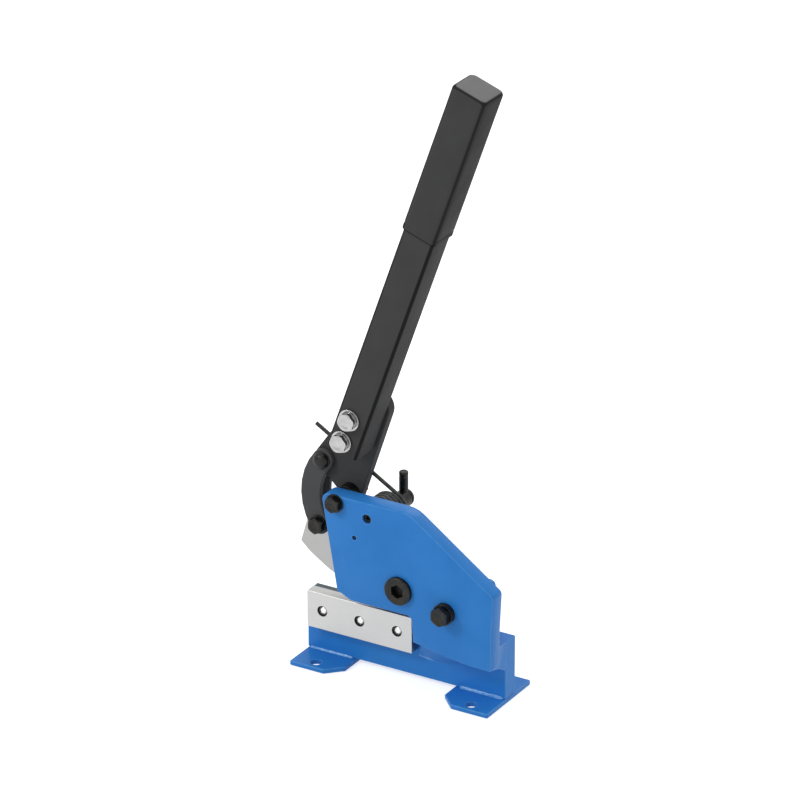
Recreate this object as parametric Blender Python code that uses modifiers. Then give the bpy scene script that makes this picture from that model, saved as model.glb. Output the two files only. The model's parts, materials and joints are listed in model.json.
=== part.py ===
"""Bench shear: a hand-lever metal shear on a welded two-foot stand.

Metres, +Z up. The origin is on the bench, under the middle of the whole part. X runs
along the blades and Y runs from the front to the back. Plan points are (x, z) from the
main pivot and depths are counted from the front plate's face. Lever points are (n, s):
s runs up the tilted lever and n runs square to it, both from the main pivot.
"""
from math import acos, atan2, ceil, cos, hypot, pi, radians, sin, tan

import bmesh
import bpy
from mathutils import Matrix, Vector

# Place of the main pivot's axis, at the front plate's face
PIVOT_X = 0.01375
PIVOT_Y = -0.0351
PIVOT_HEIGHT = 0.1200

# Shared sizes
FIT_GAP = 0.0003
CUT_OVERRUN = 0.0040
ROUND_SIDES = 24
HEX_SIDES = 6
ARC_STEP = radians(12)
BEVEL_ANGLE = radians(35)
MERGE_DISTANCE = 0.00001
FLAT_ANGLE = radians(1)
EDGE_STEPS = 2
WIRE_STEPS = 2
CHAMFER_SHARE = 0.12
NUT_EDGE_SHARE = 0.07

# Depths of the layers, front to back
PLATE_THICKNESS = 0.0200
FRONT_LINK_FRONT = 0.0263
LINK_THICKNESS = 0.0060
SWING_FRONT = 0.0326
SWING_THICKNESS = 0.0120
SWING_BACK = SWING_FRONT + SWING_THICKNESS
REAR_LINK_FRONT = SWING_BACK + FIT_GAP
REAR_LINK_BACK = REAR_LINK_FRONT + LINK_THICKNESS

# Plan points
MAIN_PIVOT = (0.0, 0.0)
FULCRUM = (-0.0785, 0.0829)
LINK_TOP = (-0.1102, 0.1148)
LINK_BOTTOM = (-0.1152, 0.0385)
CLAMP = (0.0565, -0.0121)
AXLE_SCREW = (-0.0398, 0.0733)
ANCHOR = (-0.0552, 0.0476)
SPRING_AXLE = (-0.0377, 0.0682)

# Front plate, corners as x, z and corner radius
PLATE_CORNERS = (
    (-0.0768, -0.0201, 0.0030),
    (-0.0962, 0.0916, 0.0080),
    (0.0115, 0.0916, 0.0300),
    (0.1140, 0.0192, 0.0070),
    (0.1118, -0.0250, 0.0600),
    (0.1118, -0.0680, 0.0015),
    (0.0868, -0.0677, 0.0),
    (0.0613, -0.0651, 0.0300),
    (0.0307, -0.0593, 0.0),
    (0.0170, -0.0575, 0.0),
    (0.0145, -0.0275, 0.0060),
    (-0.0600, -0.0275, 0.0120),
    (-0.0724, -0.0216, 0.0060),
)
PLATE_EDGE = 0.0016

# Neck behind the plate's foot, stations as x, front depth, lip z, heel z and top z
NECK_FRONT = 0.0014
NECK_BACK = 0.0320
WEB_TOP = -0.0466
NECK_TOP = WEB_TOP
NECK_STATIONS = (
    (0.0060, 0.0300, -0.0860, -0.0900, -0.0830),
    (0.0307, NECK_FRONT, -0.0560, -0.0920, NECK_TOP),
    (0.0480, NECK_FRONT, -0.0600, -0.0890, NECK_TOP),
    (0.0660, NECK_FRONT, -0.0640, -0.0830, NECK_TOP),
    (0.0868, NECK_FRONT, -0.0662, -0.0804, NECK_TOP),
    (0.1116, NECK_FRONT, -0.0664, -0.0796, NECK_TOP),
)
NECK_SAG_SHARE = 0.55
NECK_SAG = 0.0020

# Pad behind the plate and the bar's riser behind it, which the clamp bolt joins
RISER_LEFT = 0.0420
RISER_RIGHT = 0.0880
RISER_TOP = 0.0120
RISER_CORNER = 0.0060
PAD_BOTTOM = -0.0560
PAD_CORNERS = (
    (RISER_LEFT, PAD_BOTTOM, 0.0),
    (RISER_LEFT, RISER_TOP, RISER_CORNER),
    (RISER_RIGHT, RISER_TOP, RISER_CORNER),
    (RISER_RIGHT, PAD_BOTTOM, 0.0),
)
PAD_SINK = 0.0020
PAD_FRONT = PLATE_THICKNESS - PAD_SINK

# Base bar and feet
WEB_FRONT = NECK_BACK + FIT_GAP
WEB_THICKNESS = 0.0200
WEB_BACK = WEB_FRONT + WEB_THICKNESS
FOOT_THICKNESS = 0.0054
FLOOR = -PIVOT_HEIGHT
FOOT_TOP = FLOOR + FOOT_THICKNESS
WEB_BOTTOM = FOOT_TOP + FIT_GAP
WEB_LEFT = -0.1333
WEB_RIGHT = 0.1119
WEB_CORNERS = (
    (WEB_LEFT, WEB_BOTTOM, 0.0),
    (WEB_LEFT, WEB_TOP, 0.0),
    (RISER_LEFT, WEB_TOP, RISER_CORNER),
    (RISER_LEFT, RISER_TOP, RISER_CORNER),
    (RISER_RIGHT, RISER_TOP, RISER_CORNER),
    (RISER_RIGHT, WEB_TOP, RISER_CORNER),
    (WEB_RIGHT, WEB_TOP, 0.0),
    (WEB_RIGHT, WEB_BOTTOM, 0.0),
)
WEB_EDGE = 0.0008
FOOT_FRONT = -0.0068
FOOT_BACK = 0.0860
FOOT_CHAMFER = 0.0175
FOOT_CORNER = 0.0020
FOOT_EDGE = 0.0008
LEFT_FOOT = (-0.1327, -0.0730)
RIGHT_FOOT = (0.1120, 0.0499)
FOOT_HOLE_X = (-0.1058, 0.0863)
FOOT_HOLE_Y = (0.0043, 0.0745)
FOOT_HOLE_RADIUS = 0.0065
BEAD_LEG = 0.0050
BEAD_BELLY_SHARE = 0.62
LEFT_BEAD = (-0.1300, -0.0770)
RIGHT_BEAD = (0.0560, 0.1090)

# Fixed blade and its screws
FIXED_BLADE_X = (-0.1255, 0.0045)
FIXED_BLADE_BOTTOM = -0.0818
FIXED_BLADE_TOP = -0.0393
FIXED_BLADE_FRONT = 0.0184
FIXED_BLADE_BACK = NECK_BACK
BLADE_EDGE = 0.0004
BLADE_SCREW_X = (-0.1065, -0.0603, -0.0138)
BLADE_SCREW_Z = -0.0600
BLADE_SCREW_RADIUS = 0.0040
BLADE_SCREW_RECESS = 0.0018
BLADE_SCREW_SINK = 0.0062
BLADE_SCREW_HEAD_WIDTH = 0.0130
BLADE_SCREW_HEAD = 0.0053

# Moving blade, corners as x, z and corner radius
MOVING_BLADE_CORNERS = (
    (-0.1415, 0.0101, 0.0015),
    (-0.1272, 0.0586, 0.0160),
    (-0.0040, 0.0323, 0.0200),
    (0.0345, 0.0323, 0.0300),
    (0.0345, -0.0320, 0.0240),
    (0.0040, -0.0458, 0.0120),
    (-0.0300, -0.0385, 0.0600),
    (-0.0600, -0.0302, 0.0600),
    (-0.1035, -0.0175, 0.0600),
    (-0.1303, -0.0002, 0.0300),
)

# Main pivot fastener
PIVOT_RADIUS = 0.0100
PIVOT_HEAD_SHARE = 1.58
PIVOT_HEAD_RADIUS = PIVOT_RADIUS * PIVOT_HEAD_SHARE
PIVOT_HEAD = 0.0050
PIVOT_SOCKET_WIDTH = 0.0140
PIVOT_SOCKET_DEPTH = 0.0040
PIVOT_SPACER_RADIUS = 0.0180
PIVOT_WASHER_RADIUS = 0.0185
PIVOT_WASHER = 0.0030
PIVOT_NUT_WIDTH = 2 * PIVOT_HEAD_RADIUS
PIVOT_NUT = 0.0120

# Fulcrum fastener
FULCRUM_RADIUS = 0.0050
FULCRUM_SPACER_RADIUS = 0.0110
# A stack is shaft radius, width over flats, head height, washer radius and thickness, nut height
FULCRUM_STACK = (FULCRUM_RADIUS, 0.0160, 0.0062, 0.0105, 0.0018, 0.0080)

# Clamp fastener through the plate, the neck's pad and the bar
CLAMP_RADIUS = 0.0060
CLAMP_STACK = (CLAMP_RADIUS, 0.0190, 0.0076, 0.0120, 0.0032, 0.0100)

# Lever, circles as n, s and radius
LEVER_TILT = radians(19.5)
LEVER_CIRCLES = (
    (-0.1017, 0.0520, 0.0125),
    (-0.1422, 0.0714, 0.0130),
    (-0.1120, 0.1600, 0.0180),
    (-0.1090, 0.1600, 0.0180),
)
LEVER_EDGE = 0.0008

# Links between lever and moving blade
LINK_HALF_WIDTH = 0.0120
LINK_BULGE = 0.0125
LINK_EDGE = 0.0008
LINK_PIN_RADIUS = 0.0050
LINK_PLAY = 0.0017
LINK_STACK = (LINK_PIN_RADIUS, 0.0160, 0.0064, 0.0105, 0.0022, 0.0080)
TOP_PIN_HEAD_RADIUS = 0.0095
TOP_PIN_HEAD = 0.0085
TOP_PIN_RIM_SHARE = 0.30
TOP_CLIP_RADIUS = 0.0070
TOP_CLIP = 0.0016
TOP_PIN_TAIL = 0.0012

# Square arm tube and hand grip
TUBE_CENTRE_OFFSET = -0.1129
TUBE_HALF = 0.0190
TUBE_CORNER = 0.0045
TUBE_WALL = 0.0030
TUBE_FRONT = SWING_FRONT - FIT_GAP - 2 * TUBE_HALF
TUBE_CENTRE_Y = TUBE_FRONT + TUBE_HALF
TUBE_BOTTOM = 0.1155
TUBE_TOP = 0.5700
GRIP_WALL = 0.0023
GRIP_HALF = TUBE_HALF + GRIP_WALL
GRIP_CORNER = TUBE_CORNER + GRIP_WALL
GRIP_BOTTOM = 0.3960
GRIP_TOP = 0.5750
GRIP_EDGE = 0.0030
ARM_BOLT_SHIFT = 0.0026
ARM_BOLT_OFFSET = TUBE_CENTRE_OFFSET - ARM_BOLT_SHIFT
ARM_BOLT_RISES = (0.1574, 0.1289)
ARM_BOLT_RADIUS = 0.0060
ARM_STACK = (ARM_BOLT_RADIUS, 0.0185, 0.0070, 0.0120, 0.0025, 0.0100)

# Spring, axle, stud and pins
AXLE_RADIUS = 0.0100
AXLE_SEAT = 0.0040
AXLE_BACK = 0.0800
AXLE_SCREW_RADIUS = 0.0030
AXLE_SCREW_HEAD_RADIUS = 0.0050
AXLE_SCREW_HEAD = 0.0060
AXLE_SCREW_RECESS = 0.0030
AXLE_SCREW_REACH = 0.0120
AXLE_SOCKET_WIDTH = 0.0050
AXLE_SOCKET_DEPTH = 0.0028
COUNTERBORE_RADIUS = 0.0055
STUD_RADIUS = 0.0050
STUD_Y = 0.0730
STUD_TOP = 0.1003
STUD_FOOT = 0.0660
WIRE_RADIUS = 0.0020
COIL_RADIUS = 0.0183
COIL_FRONT = 0.0240
COIL_BACK = 0.0480
COIL_TURNS = 4
COIL_POINTS = 10
LEG_ANGLE = radians(149.3)
LEG_LENGTH = 0.1190
TAIL_LENGTH = 0.0160
ANCHOR_RADIUS = 0.0040
ANCHOR_NECK_RADIUS = 0.0025
ANCHOR_NECK_FRONT = 0.0020
ANCHOR_BACK = 0.0440
CATCH_RADIUS = 0.0040
CATCH_COLLAR_RADIUS = 0.0060
CATCH_COLLAR = 0.0020
CATCH_SEAT = 0.0066
CATCH_ALONG_LEG = 0.0620
LEAST_WIRE_GAP = 0.0004

# Finishes as colour, roughness and metallic
FINISHES = {
    "blue_paint": ((0.105, 0.340, 0.640), 0.38, 0.0),
    "black_paint": ((0.018, 0.018, 0.020), 0.42, 0.0),
    "black_oxide": ((0.045, 0.042, 0.040), 0.45, 0.9),
    "ground_steel": ((0.62, 0.62, 0.61), 0.28, 1.0),
    "chrome": ((0.78, 0.78, 0.78), 0.15, 1.0),
    "grip_rubber": ((0.015, 0.015, 0.016), 0.60, 0.0),
    "zinc": ((0.55, 0.55, 0.54), 0.35, 1.0),
    "spring_steel": ((0.16, 0.16, 0.16), 0.38, 1.0),
}

# Body and finish of the nodes whose names start with each stem
NODE_PLACES = {
    "front_plate": ("frame", "blue_paint"),
    "base_web": ("frame", "blue_paint"),
    "left_foot": ("frame", "blue_paint"),
    "right_foot": ("frame", "blue_paint"),
    "weld_bead": ("frame", "blue_paint"),
    "fixed_blade": ("frame", "ground_steel"),
    "blade_screw": ("frame", "zinc"),
    "pivot": ("frame", "black_oxide"),
    "fulcrum": ("frame", "black_oxide"),
    "clamp": ("frame", "black_oxide"),
    "spring_axle": ("frame", "black_oxide"),
    "spring_stud": ("frame", "black_oxide"),
    "axle_screw": ("frame", "black_oxide"),
    "anchor_pin": ("frame", "black_oxide"),
    "moving_blade": ("blade", "ground_steel"),
    "link_bottom": ("blade", "black_oxide"),
    "lever_plate": ("lever", "black_paint"),
    "arm_tube": ("lever", "black_paint"),
    "arm": ("lever", "chrome"),
    "hand_grip": ("lever", "grip_rubber"),
    "catch_pin": ("lever", "black_oxide"),
    "front_link": ("links", "black_paint"),
    "rear_link": ("links", "black_paint"),
    "link_top": ("links", "black_oxide"),
    "torsion_spring": ("spring", "spring_steel"),
}


def clear_scene():
    """Remove every object that a start-up file brings."""
    for item in list(bpy.data.objects):
        bpy.data.objects.remove(item, do_unlink=True)


def new_collection(name):
    collection = bpy.data.collections.new(name)
    bpy.context.scene.collection.children.link(collection)
    return collection


def node_material(name, finish):
    """Make a Principled material of the named finish for one node."""
    colour, roughness, metallic = FINISHES[finish]
    material = bpy.data.materials.new(name + "_" + finish)
    material.use_nodes = True
    shader = material.node_tree.nodes["Principled BSDF"]
    shader.inputs["Base Color"].default_value = (*colour, 1)
    shader.inputs["Roughness"].default_value = roughness
    shader.inputs["Metallic"].default_value = metallic
    material.diffuse_color = (*colour, 1)
    return material


def world(point, y):
    """World point from a plan point and a depth."""
    x, z = point
    return Vector((x + PIVOT_X, y + PIVOT_Y, z + PIVOT_HEIGHT))


def lever_point(n, s):
    """Plan point from lever coordinates."""
    along, across = sin(LEVER_TILT), cos(LEVER_TILT)
    return n * across + s * along, s * across - n * along


def upright(y):
    """Frame whose local X and Y are the plan's x and z, at one depth."""
    return Matrix.Translation(world((0, 0), y)) @ Matrix.Rotation(pi / 2, 4, "X")


def depthwise(point):
    """Frame on a plan point whose local Z runs along the depth."""
    return Matrix.Translation(world(point, 0)) @ Matrix.Rotation(-pi / 2, 4, "X")


def arc(centre, radius, start, sweep):
    """Points along an arc, both ends included."""
    steps = max(2, ceil(abs(sweep) / ARC_STEP))
    angles = [start + sweep * i / steps for i in range(steps + 1)]
    return [(centre[0] + radius * cos(a), centre[1] + radius * sin(a)) for a in angles]


def rounded(corners):
    """Outline of a polygon whose corners are (x, z, radius)."""
    points = []
    count = len(corners)
    for i, (x, z, radius) in enumerate(corners):
        if not radius:
            points.append((x, z))
            continue
        here = Vector((x, z))
        back = (Vector(corners[i - 1][:2]) - here).normalized()
        ahead = (Vector(corners[(i + 1) % count][:2]) - here).normalized()
        half = back.angle(ahead) / 2
        centre = here + (back + ahead).normalized() * (radius / sin(half))
        start = here + back * (radius / tan(half)) - centre
        turn = pi - 2 * half
        if back.x * ahead.y - back.y * ahead.x > 0:
            turn = -turn
        points += arc(centre, radius, atan2(start.y, start.x), turn)
    return points


def belt(circles):
    """Outline of a belt round circles (x, z, radius) listed clockwise."""
    tangents = []
    for i, (x, z, radius) in enumerate(circles):
        next_x, next_z, next_radius = circles[(i + 1) % len(circles)]
        run = hypot(next_x - x, next_z - z)
        heading = atan2(next_z - z, next_x - x)
        tangents.append(heading + acos((radius - next_radius) / run))
    points = []
    for i, (x, z, radius) in enumerate(circles):
        sweep = (tangents[i] - tangents[i - 1]) % (-2 * pi)
        points += arc((x, z), radius, tangents[i - 1], sweep)
    return points


def bent_bar(start, end, bulge, half_width):
    """Outline of a round-ended bar that bulges from its line between two points."""
    chord = Vector(end) - Vector(start)
    radius = chord.length ** 2 / (8 * bulge) + bulge / 2
    side = Vector((chord.y, -chord.x)).normalized()
    centre = (Vector(start) + Vector(end)) / 2 - side * (radius - bulge)
    first = Vector(start) - centre
    last = Vector(end) - centre
    begin = atan2(first.y, first.x)
    sweep = (atan2(last.y, last.x) - begin) % (2 * pi)
    points = arc(centre, radius + half_width, begin, sweep)
    points += arc(end, half_width, begin + sweep, pi)[1:-1]
    points += arc(centre, radius - half_width, begin + sweep, -sweep)
    points += arc(start, half_width, begin + pi, pi)[1:-1]
    return points


def add_object(name, data, collection):
    """Link an object made from finished mesh data, its faces turned outwards."""
    bmesh.ops.recalc_face_normals(data, faces=data.faces)
    if data.calc_volume(signed=True) < 0:
        bmesh.ops.reverse_faces(data, faces=data.faces)
    mesh = bpy.data.meshes.new(name)
    data.to_mesh(mesh)
    data.free()
    obj = bpy.data.objects.new(name, mesh)
    collection.objects.link(obj)
    return obj


def settle(source, name, collection, clean_flats=True):
    """Replace a curve or a modified profile by one welded mesh in world space."""
    bpy.context.scene.collection.objects.link(source)
    depsgraph = bpy.context.evaluated_depsgraph_get()
    mesh = bpy.data.meshes.new_from_object(source.evaluated_get(depsgraph))
    data = bmesh.new()
    data.from_mesh(mesh)
    bmesh.ops.transform(data, matrix=source.matrix_world, verts=data.verts)
    bmesh.ops.remove_doubles(data, verts=data.verts, dist=MERGE_DISTANCE)
    if clean_flats:
        bmesh.ops.dissolve_limit(
            data, angle_limit=FLAT_ANGLE, verts=data.verts, edges=data.edges
        )
    bpy.data.objects.remove(source, do_unlink=True)
    return add_object(name, data, collection)


def flat(name, outlines, thickness, frame, collection):
    """Plate with straight sides round its outlines, centred on its frame."""
    curve = bpy.data.curves.new(name + "_outline", "CURVE")
    curve.dimensions = "2D"
    curve.fill_mode = "BOTH"
    curve.extrude = thickness / 2
    for outline in outlines:
        spline = curve.splines.new("POLY")
        spline.points.add(len(outline) - 1)
        spline.use_cyclic_u = True
        for (x, y), point in zip(outline, spline.points):
            point.co = (x, y, 0, 1)
    source = bpy.data.objects.new(name + "_outline", curve)
    source.matrix_world = frame
    return settle(source, name, collection)


def plate(name, outline, front, back, collection):
    """Upright plate with a plan outline between two depths."""
    return flat(name, [outline], back - front, upright((front + back) / 2), collection)


def turned(name, frame, profile, collection):
    """Body turned about the frame's Z from a profile of (radius, height), top to bottom."""
    mesh = bpy.data.meshes.new(name + "_profile")
    edges = [(i, i + 1) for i in range(len(profile) - 1)]
    mesh.from_pydata([(radius, 0, height) for radius, height in profile], edges, [])
    source = bpy.data.objects.new(name + "_profile", mesh)
    source.matrix_world = frame
    screw = source.modifiers.new("turn", "SCREW")
    screw.steps = ROUND_SIDES
    screw.render_steps = ROUND_SIDES
    screw.use_merge_vertices = True
    screw.merge_threshold = MERGE_DISTANCE
    return settle(source, name, collection)


def drum(name, point, front, back, radius, collection, sides=ROUND_SIDES, turn=0.0):
    """Cylinder or regular prism along the depth at a plan point."""
    data = bmesh.new()
    middle = Matrix.Translation((0, 0, (front + back) / 2))
    frame = depthwise(point) @ middle @ Matrix.Rotation(turn, 4, "Z")
    bmesh.ops.create_cone(
        data,
        cap_ends=True,
        segments=sides,
        radius1=radius,
        radius2=radius,
        depth=back - front,
        matrix=frame,
    )
    return add_object(name, data, collection)


def hexagon(name, point, front, back, width, collection, turn=0.0):
    """Hexagonal prism of a width across its flats."""
    corner = width / 2 / cos(pi / HEX_SIDES)
    return drum(name, point, front, back, corner, collection, HEX_SIDES, turn)


def combine(target, tool, operation):
    """Add an exact Boolean of tool to target and hide the tool."""
    tool.display_type = "WIRE"
    tool.hide_render = True
    modifier = target.modifiers.new(tool.name, "BOOLEAN")
    modifier.solver = "EXACT"
    modifier.operation = operation
    modifier.object = tool


def bore(target, point, radius, front, back, cutters):
    """Cut a round hole along the depth."""
    drill = drum(target.name + "_bore", point, front, back, radius, cutters)
    combine(target, drill, "DIFFERENCE")


def bore_through(target, point, shaft, front, back, cutters):
    """Cut a clearance hole for a shaft right through two depths."""
    bore(target, point, shaft + FIT_GAP, front - CUT_OVERRUN, back + CUT_OVERRUN, cutters)


def soften(obj, width, segments=1):
    """Round the sharp edges made so far."""
    modifier = obj.modifiers.new("edge", "BEVEL")
    modifier.width = width
    modifier.segments = segments
    modifier.limit_method = "ANGLE"
    modifier.angle_limit = BEVEL_ANGLE


def washer(name, point, front, thickness, outer, shaft, sets):
    """Flat ring round a shaft."""
    nodes, cutters = sets
    ring = drum(name, point, front, front + thickness, outer, nodes)
    bore_through(ring, point, shaft, front, front + thickness, cutters)
    return ring


def nut(name, point, front, height, width, shaft, sets, turn=0.0):
    """Hexagon nut round a shaft."""
    nodes, cutters = sets
    block = hexagon(name, point, front, front + height, width, nodes, turn)
    soften(block, height * NUT_EDGE_SHARE)
    bore_through(block, point, shaft, front, front + height, cutters)
    return block


def bolt(name, point, seat, head, tip, width, shaft, sets, turn=0.0):
    """Hexagon bolt whose head lies between seat - head and seat."""
    nodes, cutters = sets
    outer = seat - head
    body = hexagon(name, point, min(outer, seat), max(outer, seat), width, nodes, turn)
    soften(body, abs(head) * NUT_EDGE_SHARE)
    root = (outer + seat) / 2
    shank = drum(name + "_shank", point, min(root, tip), max(root, tip), shaft, cutters)
    soften(shank, shaft * CHAMFER_SHARE)
    combine(body, shank, "UNION")
    return body


def neck_ring(x, front, lip, heel, top):
    """Section of the neck across the bar at one station."""
    sag_y = front + (NECK_BACK - front) * NECK_SAG_SHARE
    sag_z = lip + (heel - lip) * NECK_SAG_SHARE + NECK_SAG
    section = (
        (front, lip),
        (sag_y, sag_z),
        (NECK_BACK, heel),
        (NECK_BACK, top),
        (front, top),
    )
    return [world((x, z), y) for y, z in section]


def make_neck(cutters):
    """Loft through the neck's stations, whose sections differ."""
    data = bmesh.new()
    rows = [[data.verts.new(point) for point in neck_ring(*station)] for station in NECK_STATIONS]
    for low, high in zip(rows, rows[1:]):
        for i in range(len(low)):
            data.faces.new((low[i - 1], low[i], high[i], high[i - 1]))
    data.faces.new(rows[0])
    data.faces.new(rows[-1])
    return add_object("neck_form", data, cutters)


def make_front_plate(nodes, cutters):
    """Painted plate with its neck and pad, bored for five fasteners."""
    body = plate("front_plate", rounded(PLATE_CORNERS), 0, PLATE_THICKNESS, nodes)
    soften(body, PLATE_EDGE, EDGE_STEPS)
    combine(body, make_neck(cutters), "UNION")
    pad = plate("pad_form", rounded(PAD_CORNERS), PAD_FRONT, NECK_BACK, cutters)
    combine(body, pad, "UNION")
    bore_through(body, MAIN_PIVOT, PIVOT_RADIUS, 0, PLATE_THICKNESS, cutters)
    bore_through(body, FULCRUM, FULCRUM_RADIUS, 0, PLATE_THICKNESS, cutters)
    bore_through(body, ANCHOR, ANCHOR_NECK_RADIUS, 0, PLATE_THICKNESS, cutters)
    bore_through(body, CLAMP, CLAMP_RADIUS, 0, NECK_BACK, cutters)
    bore_through(body, AXLE_SCREW, AXLE_SCREW_RADIUS, 0, PLATE_THICKNESS, cutters)
    sink = AXLE_SCREW_RECESS + AXLE_SCREW_HEAD + FIT_GAP
    bore(body, AXLE_SCREW, COUNTERBORE_RADIUS, -CUT_OVERRUN, sink, cutters)
    seat = PLATE_THICKNESS - AXLE_SEAT
    bore(body, SPRING_AXLE, AXLE_RADIUS + FIT_GAP, seat, PLATE_THICKNESS + CUT_OVERRUN, cutters)


def make_base_web(nodes, cutters):
    """Flat bar on edge with a riser that carries the clamp bolt."""
    web = plate("base_web", rounded(WEB_CORNERS), WEB_FRONT, WEB_BACK, nodes)
    soften(web, WEB_EDGE)
    for x in BLADE_SCREW_X:
        bore_through(web, (x, BLADE_SCREW_Z), BLADE_SCREW_RADIUS, WEB_FRONT, WEB_BACK, cutters)
    bore_through(web, CLAMP, CLAMP_RADIUS, WEB_FRONT, WEB_BACK, cutters)


def make_foot(name, outer_x, inner_x, hole_x, nodes, cutters):
    """Flat foot with a chamfer towards the middle and two bolt holes."""
    inward = FOOT_CHAMFER if inner_x > outer_x else -FOOT_CHAMFER
    corners = (
        (outer_x, FOOT_FRONT, FOOT_CORNER),
        (outer_x, FOOT_BACK, FOOT_CORNER),
        (inner_x, FOOT_BACK, FOOT_CORNER),
        (inner_x, FOOT_FRONT + FOOT_CHAMFER, FOOT_CORNER),
        (inner_x - inward, FOOT_FRONT, FOOT_CORNER),
    )
    level = Matrix.Translation(world((0, (FLOOR + FOOT_TOP) / 2), 0))
    foot = flat(name, [rounded(corners)], FOOT_THICKNESS, level, nodes)
    soften(foot, FOOT_EDGE)
    for y in FOOT_HOLE_Y:
        data = bmesh.new()
        bmesh.ops.create_cone(
            data,
            cap_ends=True,
            segments=ROUND_SIDES,
            radius1=FOOT_HOLE_RADIUS,
            radius2=FOOT_HOLE_RADIUS,
            depth=FOOT_THICKNESS + 2 * CUT_OVERRUN,
            matrix=level @ Matrix.Translation((hole_x, y, 0)),
        )
        combine(foot, add_object(name + "_bore", data, cutters), "DIFFERENCE")


def make_weld_beads(nodes):
    """Fillet beads along the bar, in front and behind, on both feet."""
    base = FOOT_TOP + FIT_GAP
    belly = BEAD_LEG * BEAD_BELLY_SHARE
    sides = (("front", WEB_FRONT - FIT_GAP, -1), ("rear", WEB_BACK + FIT_GAP, 1))
    for side, wall, away in sides:
        section = (
            (wall, base),
            (wall + away * BEAD_LEG, base),
            (wall + away * belly, base + belly),
            (wall, base + BEAD_LEG),
        )
        for foot, (left, right) in (("left", LEFT_BEAD), ("right", RIGHT_BEAD)):
            axes = Matrix(((0, 0, 1), (1, 0, 0), (0, 1, 0))).to_4x4()
            lengthwise = Matrix.Translation(world(((left + right) / 2, 0), 0)) @ axes
            flat("weld_bead_" + foot + "_" + side, [section], right - left, lengthwise, nodes)


def make_fixed_blade(nodes, cutters):
    """Ground bar blade with three sunk screw holes."""
    left, right = FIXED_BLADE_X
    corners = (
        (left, FIXED_BLADE_BOTTOM),
        (left, FIXED_BLADE_TOP),
        (right, FIXED_BLADE_TOP),
        (right, FIXED_BLADE_BOTTOM),
    )
    blade = plate("fixed_blade", corners, FIXED_BLADE_FRONT, FIXED_BLADE_BACK, nodes)
    soften(blade, BLADE_EDGE)
    sink = FIXED_BLADE_FRONT + BLADE_SCREW_RECESS
    for x in BLADE_SCREW_X:
        spot = (x, BLADE_SCREW_Z)
        layer = (FIXED_BLADE_FRONT, FIXED_BLADE_BACK)
        bore_through(blade, spot, BLADE_SCREW_RADIUS, *layer, cutters)
        bore(blade, spot, BLADE_SCREW_SINK, FIXED_BLADE_FRONT - CUT_OVERRUN, sink, cutters)


def make_blade_screws(sets):
    """Screws from behind the bar; their ends show in the blade's sunk holes."""
    seat = WEB_BACK + FIT_GAP
    tip = FIXED_BLADE_FRONT + BLADE_SCREW_RECESS + FIT_GAP
    for place, x in zip(("left", "middle", "right"), BLADE_SCREW_X):
        spot = (x, BLADE_SCREW_Z)
        sizes = (BLADE_SCREW_HEAD_WIDTH, BLADE_SCREW_RADIUS)
        bolt("blade_screw_" + place, spot, seat, -BLADE_SCREW_HEAD, tip, *sizes, sets)


def make_moving_blade(nodes, cutters):
    """Swinging blade with a bellied edge, bored for the pivot and the links."""
    blade = plate("moving_blade", rounded(MOVING_BLADE_CORNERS), SWING_FRONT, SWING_BACK, nodes)
    soften(blade, BLADE_EDGE)
    bore_through(blade, MAIN_PIVOT, PIVOT_RADIUS, SWING_FRONT, SWING_BACK, cutters)
    bore_through(blade, LINK_BOTTOM, LINK_PIN_RADIUS, SWING_FRONT, SWING_BACK, cutters)


def make_spacer(name, point, outer, shaft, sets):
    """Sleeve that keeps the swinging layer clear of the front plate."""
    front = PLATE_THICKNESS + FIT_GAP
    washer(name, point, front, SWING_FRONT - FIT_GAP - front, outer, shaft, sets)


def make_pivot(sets):
    """Socket-head pivot bolt with spacer, washer and nut."""
    nodes, cutters = sets
    washer_front = SWING_BACK + FIT_GAP
    nut_front = washer_front + PIVOT_WASHER + FIT_GAP
    tip = nut_front + PIVOT_NUT + FIT_GAP
    head_front = -FIT_GAP - PIVOT_HEAD
    edge = PIVOT_HEAD * CHAMFER_SHARE
    profile = (
        (0, tip),
        (PIVOT_RADIUS, tip),
        (PIVOT_RADIUS, -FIT_GAP),
        (PIVOT_HEAD_RADIUS, -FIT_GAP),
        (PIVOT_HEAD_RADIUS, head_front + edge),
        (PIVOT_HEAD_RADIUS - edge, head_front),
        (0, head_front),
    )
    head = turned("pivot_bolt", depthwise(MAIN_PIVOT), profile, nodes)
    floor = head_front + PIVOT_SOCKET_DEPTH
    mouth = head_front - CUT_OVERRUN
    socket = hexagon("pivot_socket", MAIN_PIVOT, mouth, floor, PIVOT_SOCKET_WIDTH, cutters)
    combine(head, socket, "DIFFERENCE")
    make_spacer("pivot_spacer", MAIN_PIVOT, PIVOT_SPACER_RADIUS, PIVOT_RADIUS, sets)
    ring = (PIVOT_WASHER, PIVOT_WASHER_RADIUS, PIVOT_RADIUS)
    washer("pivot_washer", MAIN_PIVOT, washer_front, *ring, sets)
    nut("pivot_nut", MAIN_PIVOT, nut_front, PIVOT_NUT, PIVOT_NUT_WIDTH, PIVOT_RADIUS, sets)


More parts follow.
